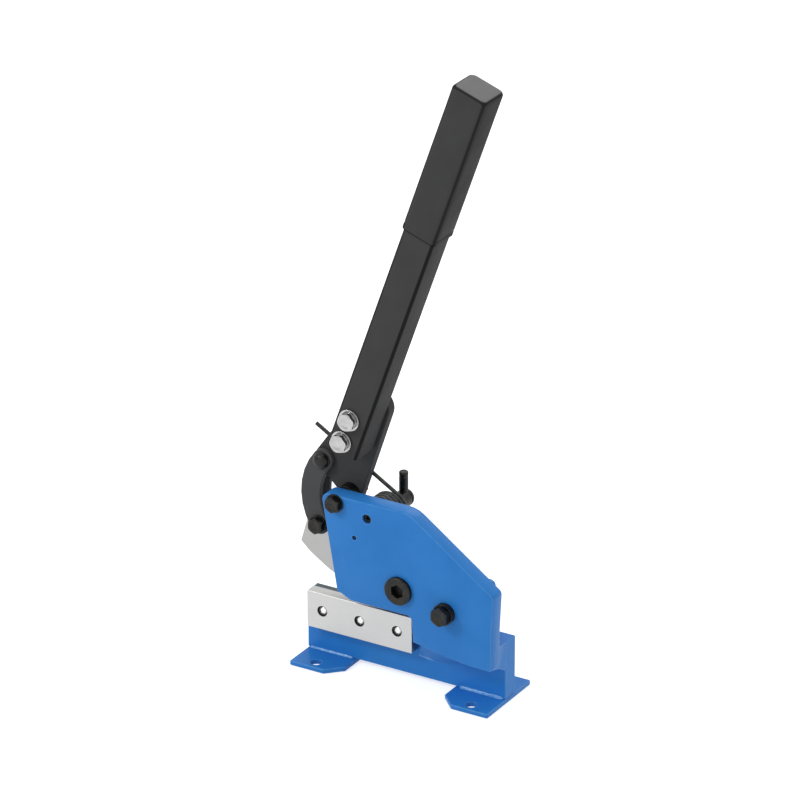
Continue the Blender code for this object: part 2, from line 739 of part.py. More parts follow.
def bolted_stack(stem, point, front_face, rear_face, sizes, sets, front_washers=1, turn=0.0):
    """Bolt, washers and nut that clamp the layers between two faces."""
    shaft, width, head, washer_radius, washer_thickness, nut_height = sizes
    seat = front_face - FIT_GAP
    for i in range(front_washers):
        place = "_washer_front" if i == 0 else "_washer_outer"
        seat -= washer_thickness
        washer(stem + place, point, seat, washer_thickness, washer_radius, shaft, sets)
        seat -= FIT_GAP
    rear = rear_face + FIT_GAP
    washer(stem + "_washer_rear", point, rear, washer_thickness, washer_radius, shaft, sets)
    nut_front = rear + washer_thickness + FIT_GAP
    nut(stem + "_nut", point, nut_front, nut_height, width, shaft, sets, turn)
    tip = nut_front + nut_height + washer_thickness
    bolt(stem + "_bolt", point, seat, head, tip, width, shaft, sets, turn)


def catch_point():
    """Plan point of the catch pin, which rests on the spring's long leg."""
    reach = COIL_RADIUS + WIRE_RADIUS + CATCH_RADIUS + FIT_GAP
    x = SPRING_AXLE[0] + sin(LEG_ANGLE) * reach + cos(LEG_ANGLE) * CATCH_ALONG_LEG
    z = SPRING_AXLE[1] - cos(LEG_ANGLE) * reach + sin(LEG_ANGLE) * CATCH_ALONG_LEG
    return x, z


def arm_bolt_points():
    return [lever_point(ARM_BOLT_OFFSET, s) for s in ARM_BOLT_RISES]


def make_lever_plate(nodes, cutters):
    """Flat lever root bored for the fulcrum, the links, the arm and the catch pin."""
    outline = [lever_point(n, s) for n, s in belt(LEVER_CIRCLES)]
    root = plate("lever_plate", outline, SWING_FRONT, SWING_BACK, nodes)
    soften(root, LEVER_EDGE)
    bore_through(root, FULCRUM, FULCRUM_RADIUS, SWING_FRONT, SWING_BACK, cutters)
    bore_through(root, LINK_TOP, LINK_PIN_RADIUS, SWING_FRONT, SWING_BACK, cutters)
    for point in arm_bolt_points():
        bore_through(root, point, ARM_BOLT_RADIUS, SWING_FRONT, SWING_BACK, cutters)
    seat = SWING_BACK - CATCH_SEAT - FIT_GAP
    bore(root, catch_point(), CATCH_RADIUS + FIT_GAP, seat, SWING_BACK + CUT_OVERRUN, cutters)


def make_links(nodes, cutters):
    """Front and rear bent links, whose wide lower bores take up the linkage's play."""
    outline = bent_bar(LINK_TOP, LINK_BOTTOM, LINK_BULGE, LINK_HALF_WIDTH)
    for name, front in (("front_link", FRONT_LINK_FRONT), ("rear_link", REAR_LINK_FRONT)):
        back = front + LINK_THICKNESS
        link = plate(name, outline, front, back, nodes)
        soften(link, LINK_EDGE)
        bore_through(link, LINK_TOP, LINK_PIN_RADIUS, front, back, cutters)
        bore_through(link, LINK_BOTTOM, LINK_PIN_RADIUS + LINK_PLAY, front, back, cutters)


def make_link_top(sets):
    """Domed pin through lever and links, held by a clip."""
    seat = FRONT_LINK_FRONT - FIT_GAP
    clip_front = REAR_LINK_BACK + FIT_GAP
    tip = clip_front + TOP_CLIP + TOP_PIN_TAIL
    rim = seat - TOP_PIN_HEAD * TOP_PIN_RIM_SHARE
    profile = [
        (0, tip),
        (LINK_PIN_RADIUS, tip),
        (LINK_PIN_RADIUS, seat),
        (TOP_PIN_HEAD_RADIUS, seat),
    ]
    rise = TOP_PIN_HEAD * (1 - TOP_PIN_RIM_SHARE)
    for radius, height in arc((0, 0), 1, 0, pi / 2)[:-1]:
        profile.append((TOP_PIN_HEAD_RADIUS * radius, rim - rise * height))
    profile.append((0, rim - rise))
    turned("link_top_pin", depthwise(LINK_TOP), profile, sets[0])
    washer("link_top_clip", LINK_TOP, clip_front, TOP_CLIP, TOP_CLIP_RADIUS, LINK_PIN_RADIUS, sets)


def square(half, corner):
    """Rounded square section round the arm's centre line."""
    low_n, high_n = TUBE_CENTRE_OFFSET - half, TUBE_CENTRE_OFFSET + half
    low_y, high_y = TUBE_CENTRE_Y - half, TUBE_CENTRE_Y + half
    corners = ((low_n, low_y), (low_n, high_y), (high_n, high_y), (high_n, low_y))
    return rounded([(*spot, corner) for spot in corners])


def lever_frame(s):
    """Frame whose local Z runs up the lever, at one height along it."""
    tilt = Matrix.Rotation(LEVER_TILT, 4, "Y")
    return Matrix.Translation(world((0, 0), 0)) @ tilt @ Matrix.Translation((0, 0, s))


def make_arm_tube(nodes, cutters):
    """Square tube bolted to the lever plate."""
    outside = square(TUBE_HALF, TUBE_CORNER)
    inside = square(TUBE_HALF - TUBE_WALL, TUBE_CORNER - TUBE_WALL)
    middle = lever_frame((TUBE_BOTTOM + TUBE_TOP) / 2)
    tube = flat("arm_tube", [outside, inside], TUBE_TOP - TUBE_BOTTOM, middle, nodes)
    for point in arm_bolt_points():
        bore_through(tube, point, ARM_BOLT_RADIUS, TUBE_FRONT, TUBE_FRONT + 2 * TUBE_HALF, cutters)


def make_hand_grip(nodes, cutters):
    """Closed-top sleeve over the tube's upper end."""
    middle = lever_frame((GRIP_BOTTOM + GRIP_TOP) / 2)
    grip = flat("hand_grip", [square(GRIP_HALF, GRIP_CORNER)], GRIP_TOP - GRIP_BOTTOM, middle, nodes)
    soften(grip, GRIP_EDGE, EDGE_STEPS)
    cavity_bottom = GRIP_BOTTOM - CUT_OVERRUN
    cavity_top = TUBE_TOP + FIT_GAP
    frame = lever_frame((cavity_bottom + cavity_top) / 2)
    section = square(TUBE_HALF + FIT_GAP, TUBE_CORNER)
    combine(grip, flat("grip_cavity", [section], cavity_top - cavity_bottom, frame, cutters), "DIFFERENCE")


def stud_frame():
    """Frame on the stud's upright axis."""
    return Matrix.Translation(world((SPRING_AXLE[0], 0), STUD_Y))


def make_spring_axle(nodes, cutters):
    """Axle seated in the plate, bored for its screw and its stud."""
    front = PLATE_THICKNESS - AXLE_SEAT + FIT_GAP
    axle = drum("spring_axle", SPRING_AXLE, front, AXLE_BACK, AXLE_RADIUS, nodes)
    soften(axle, AXLE_RADIUS * CHAMFER_SHARE)
    deep = front + AXLE_SCREW_REACH + FIT_GAP
    bore(axle, AXLE_SCREW, AXLE_SCREW_RADIUS + FIT_GAP, front - CUT_OVERRUN, deep, cutters)
    radius = STUD_RADIUS + FIT_GAP
    foot = STUD_FOOT - FIT_GAP
    profile = ((0, STUD_TOP), (radius, STUD_TOP), (radius, foot), (0, foot))
    combine(axle, turned("stud_bore", stud_frame(), profile, cutters), "DIFFERENCE")
    edge = STUD_RADIUS * CHAMFER_SHARE
    outline = (
        (0, STUD_TOP),
        (STUD_RADIUS - edge, STUD_TOP),
        (STUD_RADIUS, STUD_TOP - edge),
        (STUD_RADIUS, STUD_FOOT),
        (0, STUD_FOOT),
    )
    turned("spring_stud", stud_frame(), outline, nodes)


def make_axle_screw(nodes, cutters):
    """Sunk socket screw, set off the axle's centre so that the axle can't turn."""
    seat = AXLE_SCREW_RECESS + AXLE_SCREW_HEAD
    tip = PLATE_THICKNESS - AXLE_SEAT + AXLE_SCREW_REACH
    profile = (
        (0, tip),
        (AXLE_SCREW_RADIUS, tip),
        (AXLE_SCREW_RADIUS, seat),
        (AXLE_SCREW_HEAD_RADIUS, seat),
        (AXLE_SCREW_HEAD_RADIUS, AXLE_SCREW_RECESS),
        (0, AXLE_SCREW_RECESS),
    )
    screw = turned("axle_screw", depthwise(AXLE_SCREW), profile, nodes)
    floor = AXLE_SCREW_RECESS + AXLE_SOCKET_DEPTH
    socket = hexagon("axle_socket", AXLE_SCREW, -CUT_OVERRUN, floor, AXLE_SOCKET_WIDTH, cutters)
    combine(screw, socket, "DIFFERENCE")


def make_pins(nodes):
    """Anchor pin in the plate and catch pin in the lever, between which the spring works."""
    shoulder = PLATE_THICKNESS + FIT_GAP
    anchor = (
        (0, ANCHOR_BACK),
        (ANCHOR_RADIUS, ANCHOR_BACK),
        (ANCHOR_RADIUS, shoulder),
        (ANCHOR_NECK_RADIUS, shoulder),
        (ANCHOR_NECK_RADIUS, ANCHOR_NECK_FRONT),
        (0, ANCHOR_NECK_FRONT),
    )
    turned("anchor_pin", depthwise(ANCHOR), anchor, nodes)
    collar = COIL_BACK + WIRE_RADIUS + FIT_GAP
    catch = (
        (0, collar + CATCH_COLLAR),
        (CATCH_COLLAR_RADIUS, collar + CATCH_COLLAR),
        (CATCH_COLLAR_RADIUS, collar),
        (CATCH_RADIUS, collar),
        (CATCH_RADIUS, SWING_BACK - CATCH_SEAT),
        (0, SWING_BACK - CATCH_SEAT),
    )
    turned("catch_pin", depthwise(catch_point()), catch, nodes)


def tail_angle():
    """Angle round the axle at which the tail leaves to bear on the anchor pin."""
    dx = ANCHOR[0] - SPRING_AXLE[0]
    dz = ANCHOR[1] - SPRING_AXLE[1]
    reach = COIL_RADIUS + WIRE_RADIUS + ANCHOR_RADIUS + FIT_GAP
    return atan2(dz, dx) + acos(reach / hypot(dx, dz))


def spring_path():
    """Centre line of the spring: tail, coil and long leg."""
    first = tail_angle()
    last = LEG_ANGLE - pi / 2
    sweep = (last - first) % (2 * pi) + 2 * pi * COIL_TURNS
    count = ceil(sweep / (2 * pi) * COIL_POINTS)
    coil = []
    for i in range(count + 1):
        angle = first + sweep * i / count
        x = SPRING_AXLE[0] + COIL_RADIUS * cos(angle)
        z = SPRING_AXLE[1] + COIL_RADIUS * sin(angle)
        coil.append(world((x, z), COIL_FRONT + (COIL_BACK - COIL_FRONT) * i / count))
    tail = coil[0] + Vector((sin(first), 0, -cos(first))) * TAIL_LENGTH
    leg = coil[-1] + Vector((cos(LEG_ANGLE), 0, sin(LEG_ANGLE))) * LEG_LENGTH
    return [tail, *coil, leg]


def least_wire_gap(path):
    """Least clear space between turns, measured on the path's points."""
    near_turn = COIL_POINTS // 2
    spans = []
    for i, here in enumerate(path):
        spans += [(here - there).length for there in path[i + near_turn:]]
    return min(spans) - 2 * WIRE_RADIUS


def make_spring(nodes):
    """Torsion spring as one unbroken round wire."""
    path = spring_path()
    gap = least_wire_gap(path)
    print("least gap between spring turns in metres:", round(gap, 6), gap > LEAST_WIRE_GAP)
    curve = bpy.data.curves.new("torsion_spring_line", "CURVE")
    curve.dimensions = "3D"
    curve.bevel_depth = WIRE_RADIUS
    curve.bevel_resolution = WIRE_STEPS
    curve.use_fill_caps = True
    spline = curve.splines.new("POLY")
    spline.points.add(len(path) - 1)
    for spot, point in zip(path, spline.points):
        point.co = (*spot, 1)
    line = bpy.data.objects.new("torsion_spring_line", curve)
    spring = settle(line, "torsion_spring", nodes, clean_flats=False)
    spring.data.shade_smooth()


def finish_nodes(nodes):
    """Give each node its material and put its origin on its joint's axis."""
    origins = {
        "frame": world(MAIN_PIVOT, 0),
        "lever": world(FULCRUM, SWING_FRONT),
        "blade": world(MAIN_PIVOT, SWING_FRONT),
        "links": world(LINK_TOP, SWING_FRONT),
        "spring": world(SPRING_AXLE, COIL_FRONT),
    }
    for obj in nodes.objects:
        stem = max((key for key in NODE_PLACES if obj.name.startswith(key)), key=len)
        body, finish = NODE_PLACES[stem]
        obj.data.transform(Matrix.Translation(-origins[body]))
        obj.location = origins[body]
        obj.data.materials.append(node_material(obj.name, finish))


def build():
    clear_scene()
    nodes = new_collection("bench_shear")
    cutters = new_collection("cutters")
    cutters.hide_render = True
    sets = (nodes, cutters)
    make_front_plate(nodes, cutters)
    make_base_web(nodes, cutters)
    make_foot("left_foot", *LEFT_FOOT, FOOT_HOLE_X[0], nodes, cutters)
    make_foot("right_foot", *RIGHT_FOOT, FOOT_HOLE_X[1], nodes, cutters)
    make_weld_beads(nodes)
    make_fixed_blade(nodes, cutters)
    make_blade_screws(sets)
    make_moving_blade(nodes, cutters)
    make_pivot(sets)
    bolted_stack("fulcrum", FULCRUM, 0, SWING_BACK, FULCRUM_STACK, sets)
    make_spacer("fulcrum_spacer", FULCRUM, FULCRUM_SPACER_RADIUS, FULCRUM_RADIUS, sets)
    bolted_stack("clamp", CLAMP, 0, WEB_BACK, CLAMP_STACK, sets, front_washers=2)
    make_lever_plate(nodes, cutters)
    make_links(nodes, cutters)
    make_link_top(sets)
    bolted_stack("link_bottom", LINK_BOTTOM, FRONT_LINK_FRONT, REAR_LINK_BACK, LINK_STACK, sets)
    make_arm_tube(nodes, cutters)
    make_hand_grip(nodes, cutters)
    for place, point in zip(("arm_upper", "arm_lower"), arm_bolt_points()):
        bolted_stack(place, point, TUBE_FRONT, SWING_BACK, ARM_STACK, sets, turn=LEVER_TILT)
    make_spring_axle(nodes, cutters)
    make_axle_screw(nodes, cutters)
    make_pins(nodes)
    make_spring(nodes)
    finish_nodes(nodes)


build()
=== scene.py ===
import json
from math import acos, atan2, ceil, cos, hypot, pi, radians, sin, sqrt, tan

import bmesh
import bpy
from mathutils import Matrix, Vector, noise

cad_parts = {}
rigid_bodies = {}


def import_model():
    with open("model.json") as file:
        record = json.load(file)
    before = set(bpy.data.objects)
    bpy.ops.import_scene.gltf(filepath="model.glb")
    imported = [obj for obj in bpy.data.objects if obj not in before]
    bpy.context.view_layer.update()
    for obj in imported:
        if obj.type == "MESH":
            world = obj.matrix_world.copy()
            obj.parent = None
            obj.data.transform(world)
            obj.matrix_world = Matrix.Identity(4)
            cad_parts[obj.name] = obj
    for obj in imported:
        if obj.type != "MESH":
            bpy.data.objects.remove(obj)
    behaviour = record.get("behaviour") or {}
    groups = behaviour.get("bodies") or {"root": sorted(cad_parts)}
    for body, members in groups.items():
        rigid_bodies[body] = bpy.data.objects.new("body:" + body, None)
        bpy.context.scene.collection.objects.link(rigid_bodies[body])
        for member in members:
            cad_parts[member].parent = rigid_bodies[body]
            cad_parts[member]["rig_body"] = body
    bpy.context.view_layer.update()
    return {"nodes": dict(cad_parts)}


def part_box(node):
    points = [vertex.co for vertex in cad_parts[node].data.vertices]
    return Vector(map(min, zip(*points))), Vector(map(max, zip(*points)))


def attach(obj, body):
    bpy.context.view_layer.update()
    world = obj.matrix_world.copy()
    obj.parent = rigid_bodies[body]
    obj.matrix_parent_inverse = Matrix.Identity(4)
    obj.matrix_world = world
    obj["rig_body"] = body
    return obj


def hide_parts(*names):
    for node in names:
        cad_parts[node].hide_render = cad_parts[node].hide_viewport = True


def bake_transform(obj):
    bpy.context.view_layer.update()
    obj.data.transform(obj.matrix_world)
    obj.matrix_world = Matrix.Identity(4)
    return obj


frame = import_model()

# Places shared by the pieces, as x, depth and z
MAIN_PIVOT = Vector((0.01375, -0.0351, 0.1200))
SPRING_AXLE = MAIN_PIVOT + Vector((-0.0377, 0, 0.0682))
ANCHOR_PIN = MAIN_PIVOT + Vector((-0.0552, 0, 0.0476))
BAR_TOP = MAIN_PIVOT.z - 0.0466
BAR_FRONT = MAIN_PIVOT.y + 0.0323
BAR_BACK = MAIN_PIVOT.y + 0.0523
FIT_GAP = 0.0003

# The lever's lean at rest, and the ways along and across its square arm
LEVER_TILT = radians(19.5)
ARM_UP = Vector((sin(LEVER_TILT), 0, cos(LEVER_TILT)))
ARM_SIDE = Vector((cos(LEVER_TILT), 0, -sin(LEVER_TILT)))
GRIP_BOTTOM = 0.3960  # up the arm from the main pivot

# Fineness of the meshes
ROUND_SIDES = 72
SMOOTH_ANGLE = radians(32)

# Radius of the solid's spring wire, and how much thicker it looks in the photograph
SPRING_WIRE = 0.0020
SPRING_SWELL = 0.0002

# A hexagon's flat face and its seat, as shares of its width, and the cone over its corners
FACE_SHARE = 0.97
SEAT_SHARE = 0.98
CONE_SLOPE = tan(radians(30))

# Finish of the nodes whose names start with each stem. The longest stem that fits counts.
NODE_FINISHES = {
    "front_plate": "blue_paint",
    "base_web": "bar_paint",
    "left_foot": "blue_paint",
    "right_foot": "blue_paint",
    "fixed_blade": "ground_steel",
    "moving_blade": "shaded_steel",
    "pivot": "black_oxide",
    "fulcrum": "black_oxide",
    "clamp": "black_oxide",
    "link_bottom": "black_oxide",
    "link_top": "black_oxide",
    "anchor_pin": "black_oxide",
    "axle_screw": "black_oxide",
    "lever_plate": "black_paint",
    "arm_tube": "tube_paint",
    "front_link": "lit_link_paint",
    "rear_link": "lit_link_paint",
    "arm_upper": "chrome",
    "arm_lower": "chrome",
}
# Width of the rounded edge on the nodes, where it isn't a washer's
EDGE_WIDTHS = {
    "front_plate": 0.0005,
    "base_web": 0.0004,
    "left_foot": 0.0004,
    "right_foot": 0.0004,
    "fixed_blade": 0.00015,
    "moving_blade": 0.00015,
    "lever_plate": 0.0004,
    "front_link": 0.0004,
    "rear_link": 0.0004,
    "arm_tube": 0.0003,
}
WASHER_EDGE = 0.00025

# Colours of paint worn thin on an edge together with painted edge highlight, of a dark grey band
# on the bar's top, and of black painted shade in corners and on sides
EDGE_WEAR_AND_SHEEN = (0.150, 0.430, 0.840)
BAR_TOP_GREY = (0.075, 0.110, 0.120)
SHADE_BLACK = (0.008, 0.008, 0.008)


class Value:
    """A shader value that works in sums, each of which adds a Math node."""

    def __init__(self, nodes, output):
        self.nodes = nodes
        self.output = output

    def maths(self, operation, *terms):
        return self.nodes.add("ShaderNodeMath", {"operation": operation}, dict(enumerate(terms)))

    def __add__(self, other):
        return self.maths("ADD", self, other)

    def __sub__(self, other):
        return self.maths("SUBTRACT", self, other)

    def __rsub__(self, other):
        return self.maths("SUBTRACT", other, self)

    def __mul__(self, other):
        return self.maths("MULTIPLY", self, other)

    def __pow__(self, power):
        return self.maths("POWER", self, power)

    __radd__ = __add__
    __rmul__ = __mul__


class Nodes:
    """A node tree that nodes are added to."""

    def __init__(self, tree):
        self.tree = tree

    def add(self, kind, settings=None, sockets=None, out=0):
        """Add a node, its settings first and then the values or links of its sockets."""
        node = self.tree.nodes.new(kind)
        for name, setting in (settings or {}).items():
            setattr(node, name, setting)
        for name, value in (sockets or {}).items():
            self.feed(node.inputs[name], value)
        return Value(self, node.outputs[out])

    def feed(self, socket, value):
        if isinstance(value, Value):
            self.tree.links.new(value.output, socket)
        else:
            socket.default_value = value

    def blend(self, share, first, second):
        """Colour between two colours."""
        colours = [c if isinstance(c, Value) else (*c, 1) for c in (first, second)]
        sockets = {0: share, 6: colours[0], 7: colours[1]}
        return self.add("ShaderNodeMix", {"data_type": "RGBA"}, sockets, out=2)

    def camera_sees(self):
        """One where the camera sees it straight, in a mirror or through glass."""
        rays = ("Is Camera Ray", "Is Glossy Ray", "Is Transmission Ray")
        straight, mirrored, through = (self.add("ShaderNodeLightPath", out=ray) for ray in rays)
        return straight + mirrored + through


class Finish(Nodes):
    """A node material on one Principled shader."""

    def __init__(self, name, **uniform):
        self.material = bpy.data.materials.new(name)
        self.material.use_nodes = True
        super().__init__(self.material.node_tree)
        self.shader = self.tree.nodes["Principled BSDF"].inputs
        self.place = self.add("ShaderNodeTexCoord", out="Object")
        self.normal = None
        for socket, value in uniform.items():
            self.shader[socket.replace("_", " ").title()].default_value = value

    def stretched(self, stretch):
        settings = {"operation": "MULTIPLY"}
        return self.add("ShaderNodeVectorMath", settings, {0: self.place, 1: stretch})

    def dot(self, first, second):
        settings = {"operation": "DOT_PRODUCT"}
        return self.add("ShaderNodeVectorMath", settings, {0: first, 1: second}, out="Value")

    def along(self, axis):
        """Distance in metres from the origin along one axis."""
        return self.add("ShaderNodeSeparateXYZ", {}, {0: self.place}, out=axis)

    def reach(self, way):
        """Distance in metres from the main pivot along any way."""
        return self.dot(self.place, way) - MAIN_PIVOT.dot(way)

    def facing(self, way):
        """How squarely the surface faces one way, from -1 to 1."""
        return self.dot(self.add("ShaderNodeTexCoord", out="Normal"), way)

    def arm_corners(self, start=0.03):
        """One along the rounded corners of a square piece that leans with the lever."""
        side, front, top = (self.facing(way) ** 2 for way in (ARM_SIDE, (0, 1, 0), ARM_UP))
        return self.over(side * front + front * top + top * side, start, start + 0.13)

    def arm_sides(self):
        """One on the left and right faces of such a piece."""
        return self.over(self.facing(ARM_SIDE) ** 2, 0.80, 0.98)

    def grain(self, scale, detail=3.0, stretch=None):
        """Noise from 0 to 1 over the piece, with so many cells a metre."""
        spot = self.stretched(stretch) if stretch else self.place
        sockets = {"Vector": spot, "Scale": scale, "Detail": detail, "Roughness": 0.55}
        return self.add("ShaderNodeTexNoise", {}, sockets)

    def cells(self, scale, feature="F1"):
        """Distance in rounded cells, with so many cells a metre."""
        sockets = {"Vector": self.place, "Scale": scale}
        return self.add("ShaderNodeTexVoronoi", {"feature": feature}, sockets)

    def over(self, value, low, high):
        """Smooth step from 0 at low to 1 at high."""
        settings = {"interpolation_type": "SMOOTHSTEP"}
        return self.add("ShaderNodeMapRange", settings, {0: value, 1: low, 2: high})

    def edges(self, width):
        """One along sharp edges and 0 on flats."""
        soft = self.add("ShaderNodeBevel", {"samples": 4}, {"Radius": width})
        plain = self.add("ShaderNodeNewGeometry", out="Normal")
        return self.over(1 - self.dot(soft, plain), 0.004, 0.10)

    def relief(self, height, depth, strength=1.0):
        """Bump of a depth in metres, laid over the bumps made before."""
        sockets = {"Strength": strength, "Distance": depth, "Height": height}
        if self.normal:
            sockets["Normal"] = self.normal
        self.normal = self.add("ShaderNodeBump", {}, sockets)

    def finished(self, colour, roughness):
        self.feed(self.shader["Base Color"], colour)
        self.feed(self.shader["Roughness"], roughness)
        self.feed(self.shader["Normal"], self.normal)
        return self.material


def enamel(name, gloss, mask=None, other=None):
    """Thick blue enamel, paler over the edges from wear and painted highlight, glossier there,
    with another colour in a mask.
    """
    paint = Finish(name, coat_roughness=0.10)
    paint.feed(paint.shader["Specular IOR Level"], 0.14)
    cloud = paint.over(paint.grain(16, 4), 0.35, 0.65)
    speck = paint.over(paint.grain(2600, 2), 0.68, 0.78)
    edge = paint.edges(0.0014)
    # Paler edge colour: paint worn thin there, plus painted highlight along the edges
    worn_edge_sheen = edge * paint.over(paint.grain(160, 4), 0.20, 0.60)
    body = paint.blend(cloud, (0.0270, 0.215, 0.630), (0.0310, 0.235, 0.675))
    body = paint.blend(speck * 0.25, body, (0.055, 0.290, 0.740))
    body = paint.blend(worn_edge_sheen * 0.70, body, EDGE_WEAR_AND_SHEEN)
    if mask:
        body = paint.blend(mask(paint), body, other)
    paint.relief(paint.grain(420, 2), 0.00010, 0.35)
    paint.relief(paint.grain(1500, 1), 0.00003, 0.30)
    paint.feed(paint.shader["Coat Weight"], gloss + cloud * 0.05 + edge * 0.60)
    return paint.finished(body, 0.36 + cloud * 0.06 + worn_edge_sheen * 0.05)


def blue_paint():
    return enamel("blue_paint", 0.05)


def bead_paint():
    """The same enamel, glossy over a weld, with pale patches from a noise mask that are painted
    highlight.
    """

    def bead_glints(paint):
        return paint.over(paint.grain(130, 2), 0.36, 0.60) * 0.55

    # The pale blue in the noise mask is painted highlight on the bead
    return enamel("bead_paint", 0.80, bead_glints, (0.300, 0.620, 1.000))


def bar_paint():
    """The same enamel, dark grey in a thin band along the top of the bar where the blades pass."""

    def grey_top_band(paint):
        height, along = (paint.along(axis) for axis in "ZX")
        level = paint.over(height, BAR_TOP - 0.0008, BAR_TOP - 0.0004)
        below = 1 - paint.over(height, BAR_TOP + 0.0010, BAR_TOP + 0.0014)
        return level * below * (1 - paint.over(along, 0.005, 0.020))

    return enamel("bar_paint", 0.05, grey_top_band, BAR_TOP_GREY)


def powder_coat(name, grey, painted_shade=None):
    """Satin grey-black powder coat, pebbled, rubbed on its edges and painted darker where a mask
    of painted shade says.
    """
    paint = Finish(name)
    paint.feed(paint.shader["Specular IOR Level"], 0.04)
    cloud = paint.over(paint.grain(22, 4), 0.35, 0.65)
    rubbed = paint.edges(0.0010) * paint.over(paint.grain(260, 4), 0.40, 0.70)
    pale = grey * 1.1
    body = paint.blend(cloud, (grey, grey, grey * 1.016), (pale, pale, grey * 1.116))
    body = paint.blend(rubbed * 0.35, body, (0.100, 0.100, 0.102))
    # Black painted shade where the mask says
    if painted_shade:
        body = paint.blend(painted_shade(paint) * 0.85, body, SHADE_BLACK)
    paint.relief(paint.cells(1300), 0.00005, 0.30)
    return paint.finished(body, 0.48 + cloud * 0.08 - rubbed * 0.06)


def black_paint():
    return powder_coat("black_paint", 0.0580)


def lit_link_paint():
    """The same coat, painted paler all over as painted light on the links, which stand clear of
    the frame.
    """
    return powder_coat("lit_link_paint", 0.0860)


def tube_paint():
    """The same coat, with painted shade on the sides of the tube and along its long corners."""

    def painted_shade(paint):
        # Painted shade: a dark reflection along the long corners and shade on the side faces
        return paint.arm_corners() + paint.arm_sides() * 0.37

    return powder_coat("tube_paint", 0.0620, painted_shade)


def black_oxide():
    """Oiled black steel, browner in patches and bright on the corners."""
    steel = Finish("black_oxide", metallic=0.85)
    stain = steel.over(steel.grain(210, 5), 0.38, 0.66)
    bright = steel.edges(0.0005) * steel.over(steel.grain(700, 4), 0.35, 0.70)
    body = steel.blend(stain, (0.020, 0.024, 0.027), (0.040, 0.034, 0.027))
    body = steel.blend(bright * 0.55, body, (0.26, 0.25, 0.23))
    steel.relief(steel.grain(1800, 3), 0.00004, 0.35)
    return steel.finished(body, 0.33 + stain * 0.16 - bright * 0.08)


def wheel_ground(name, dark, pale):
    """Steel with fine wheel marks along the blade."""
    steel = Finish(name, metallic=1.0)
    marks = steel.grain(1.0, 4, (14, 60, 1600))
    cloud = steel.over(steel.grain(30, 4), 0.30, 0.70)
    bright = steel.edges(0.0006)
    body = steel.blend(marks, (dark, dark, dark * 0.99), (pale, pale, pale * 0.99))
    body = steel.blend(cloud * 0.20, body, (dark * 1.04, dark * 1.03, dark))
    body = steel.blend(bright * 0.40, body, (0.78, 0.78, 0.78))
    steel.relief(marks, 0.00002, 0.30)
    return steel.finished(body, 0.30 + marks * 0.14 + cloud * 0.05)


def ground_steel():
    return wheel_ground("ground_steel", 0.47, 0.57)


def shaded_steel():
    """The moving blade's ground steel, painted darker as painted shade from the parts in front of
    it.
    """
    return wheel_ground("shaded_steel", 0.34, 0.42)


def chrome():
    """Bright plated steel with faint haze, fine scratches and painted highlight on its edges."""
    plate = Finish("chrome", metallic=1.0)
    haze = plate.over(plate.grain(180, 4), 0.35, 0.70)
    scratch = plate.over(plate.grain(1.0, 3, (2600, 160, 300)), 0.62, 0.72)
    body = plate.blend(haze, (0.45, 0.45, 0.45), (0.39, 0.39, 0.387))
    # Near-white edges are painted highlight
    body = plate.blend(plate.edges(0.0007) * 0.7, body, (0.94, 0.94, 0.94))
    plate.relief(scratch, 0.00001, 0.25)
    return plate.finished(body, 0.14 + haze * 0.08 + scratch * 0.08)


def zinc():
    """Pale zinc plate with a soft crystal pattern."""
    plate = Finish("zinc", metallic=1.0)
    crystal = plate.cells(600)
    body = plate.blend(crystal, (0.86, 0.86, 0.85), (0.66, 0.66, 0.65))
    body = plate.blend(plate.edges(0.0004) * 0.4, body, (0.92, 0.92, 0.90))
    plate.relief(plate.grain(1400, 3), 0.00003, 0.30)
    return plate.finished(body, 0.24 + crystal * 0.10)


def grip_rubber():
    """Black moulded rubber with a close leather grain, painted highlight on its top and painted
    shade on its sides, corners and lower edge.
    """
    rubber = Finish("grip_rubber")
    rubber.feed(rubber.shader["Specular IOR Level"], 0.04)
    cloud = rubber.over(rubber.grain(28, 4), 0.35, 0.65)
    shine = rubber.edges(0.0016) * rubber.over(rubber.grain(90, 3), 0.35, 0.70)
    body = rubber.blend(cloud, (0.0600, 0.0600, 0.0605), (0.0650, 0.0650, 0.0655))
    body = rubber.blend(shine * 0.25, body, (0.085, 0.085, 0.086))
    # Pale grey on the top face is painted highlight
    painted_top_highlight = rubber.over(rubber.facing(ARM_UP), 0.90, 0.99)
    body = rubber.blend(painted_top_highlight * 0.8, body, (0.230, 0.230, 0.230))
    # Darker side faces are painted shade
    body = rubber.blend(rubber.arm_sides(), body, (0.0380, 0.0380, 0.0385))
    # Black along the corners and the lower edge is painted shade and painted shadow
    lip = 1 - rubber.over(rubber.reach(ARM_UP), GRIP_BOTTOM + 0.0010, GRIP_BOTTOM + 0.0024)
    dark = rubber.arm_corners(0.13) * 0.7 + lip * 0.8
    body = rubber.blend(dark, body, SHADE_BLACK)
    rubber.relief(rubber.cells(1050, "SMOOTH_F1"), 0.00012, 0.35)
    return rubber.finished(body, 0.50 + cloud * 0.06 - shine * 0.10)


def spring_steel():
    """Oil-hardened wire, blue-grey with drawing marks."""
    wire = Finish("spring_steel", metallic=0.9)
    scale = wire.over(wire.grain(150, 5), 0.35, 0.68)
    body = wire.blend(scale, (0.034, 0.038, 0.041), (0.070, 0.068, 0.064))
    wire.relief(wire.grain(2200, 2), 0.00003, 0.30)
    return wire.finished(body, 0.30 + scale * 0.14)


FINISHES = {
    make.__name__: make()
    for make in (
        blue_paint,
        bead_paint,
        bar_paint,
        black_paint,
        lit_link_paint,
        tube_paint,
        black_oxide,
        ground_steel,
        shaded_steel,
        chrome,
        zinc,
        grip_rubber,
        spring_steel,
    )
}


def body_of_node(node):
    return frame["nodes"][node]["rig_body"]


